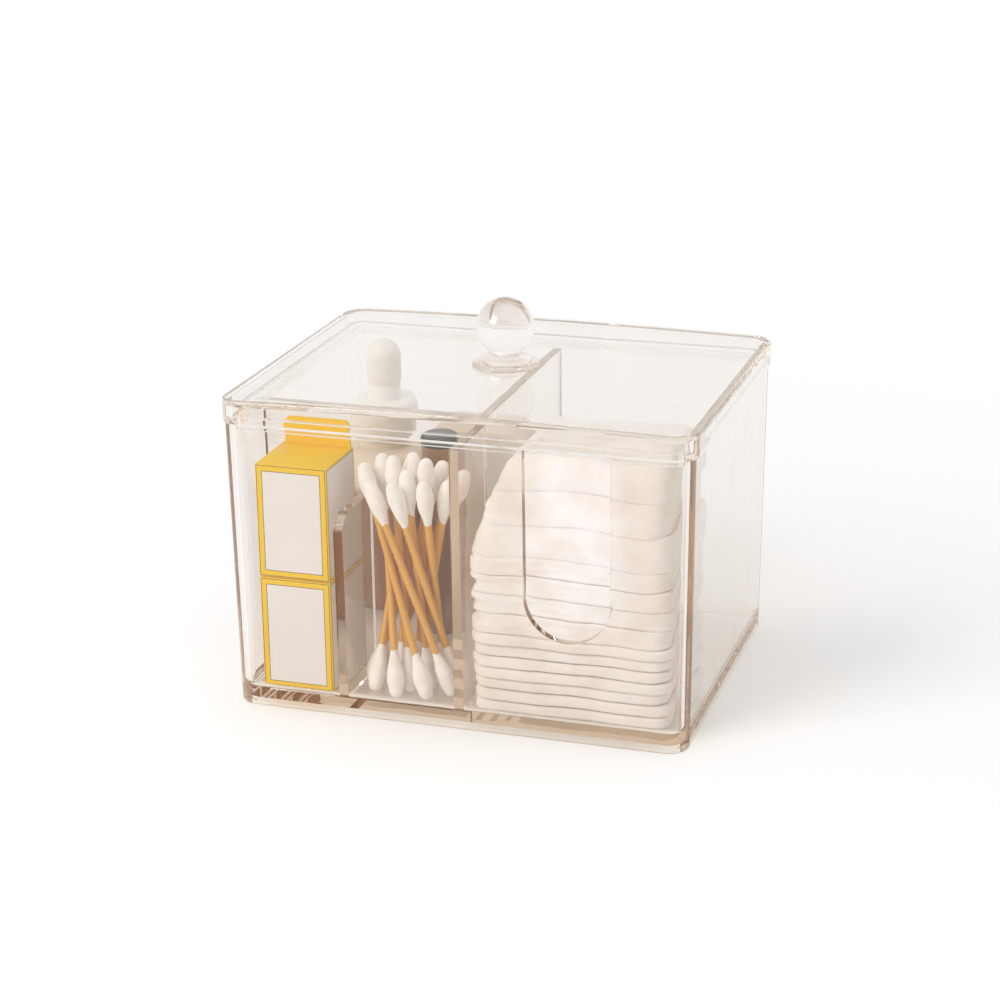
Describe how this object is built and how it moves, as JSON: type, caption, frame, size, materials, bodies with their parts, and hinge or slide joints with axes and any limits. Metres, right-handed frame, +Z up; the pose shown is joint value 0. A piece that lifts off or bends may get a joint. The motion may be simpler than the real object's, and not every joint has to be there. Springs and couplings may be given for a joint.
{
  "type": "lidded cotton pad organiser",
  "caption": "Clear plastic lidded box with inner dividers, a front finger notch and a ball knob, standing filled with cotton pads, cotton swabs and small cosmetics.",
  "frame": {"origin": "middle of the footprint, on the table under the foot rim", "axes": "+X to the right as seen from the front, +Y from the front to the back, +Z up"},
  "size_m": [0.15, 0.117, 0.1237],
  "materials": {
    "clear_plastic": "clear polished moulded polystyrene, faint warm tint",
    "yellow_carton": "coated printed card with blank pale panels",
    "bamboo_stick": "raw turned bamboo",
    "cotton_bud": "wound cotton wool",
    "cotton_pad": "pressed cotton wool",
    "amber_glass": "clear amber bottle glass",
    "white_plastic": "smooth white moulding",
    "cream_rubber": "smooth soft rubber",
    "dark_tube": "glossy black moulding",
    "black_cap": "glossy black moulding",
    "taupe_case": "satin taupe lacquer"
  },
  "bodies": {
    "case": {"case_shell": "clear_plastic", "main_divider": "clear_plastic", "cross_divider": "clear_plastic", "short_divider": "clear_plastic", "carton_lower": "yellow_carton", "carton_upper": "yellow_carton", "swab_stick_01": "bamboo_stick", "swab_buds_01": "cotton_bud", "swab_stick_02": "bamboo_stick", "swab_buds_02": "cotton_bud", "swab_stick_03": "bamboo_stick", "swab_buds_03": "cotton_bud", "swab_stick_04": "bamboo_stick", "swab_buds_04": "cotton_bud", "swab_stick_05": "bamboo_stick", "swab_buds_05": "cotton_bud", "swab_stick_06": "bamboo_stick", "swab_buds_06": "cotton_bud", "swab_stick_07": "bamboo_stick", "swab_buds_07": "cotton_bud", "swab_stick_08": "bamboo_stick", "swab_buds_08": "cotton_bud", "swab_stick_09": "bamboo_stick", "swab_buds_09": "cotton_bud", "swab_stick_10": "bamboo_stick", "swab_buds_10": "cotton_bud", "swab_stick_11": "bamboo_stick", "swab_buds_11": "cotton_bud", "swab_stick_12": "bamboo_stick", "swab_buds_12": "cotton_bud", "swab_stick_13": "bamboo_stick", "swab_buds_13": "cotton_bud", "cotton_pad_01": "cotton_pad", "cotton_pad_02": "cotton_pad", "cotton_pad_03": "cotton_pad", "cotton_pad_04": "cotton_pad", "cotton_pad_05": "cotton_pad", "cotton_pad_06": "cotton_pad", "cotton_pad_07": "cotton_pad", "cotton_pad_08": "cotton_pad", "cotton_pad_09": "cotton_pad", "cotton_pad_10": "cotton_pad", "cotton_pad_11": "cotton_pad", "cotton_pad_12": "cotton_pad", "cotton_pad_13": "cotton_pad", "cotton_pad_14": "cotton_pad", "bottle_glass": "amber_glass", "bottle_collar": "white_plastic", "bottle_bulb": "cream_rubber", "lipstick_base": "dark_tube", "lipstick_cap": "black_cap", "compact": "taupe_case"},
    "lid": {"lid": "clear_plastic"}
  },
  "joints": [
    {"name": "lid_lift", "type": "slide", "parent": "case", "child": "lid", "axis": [0, 0, 1], "range_m": [0, 0.1]}
  ]
}
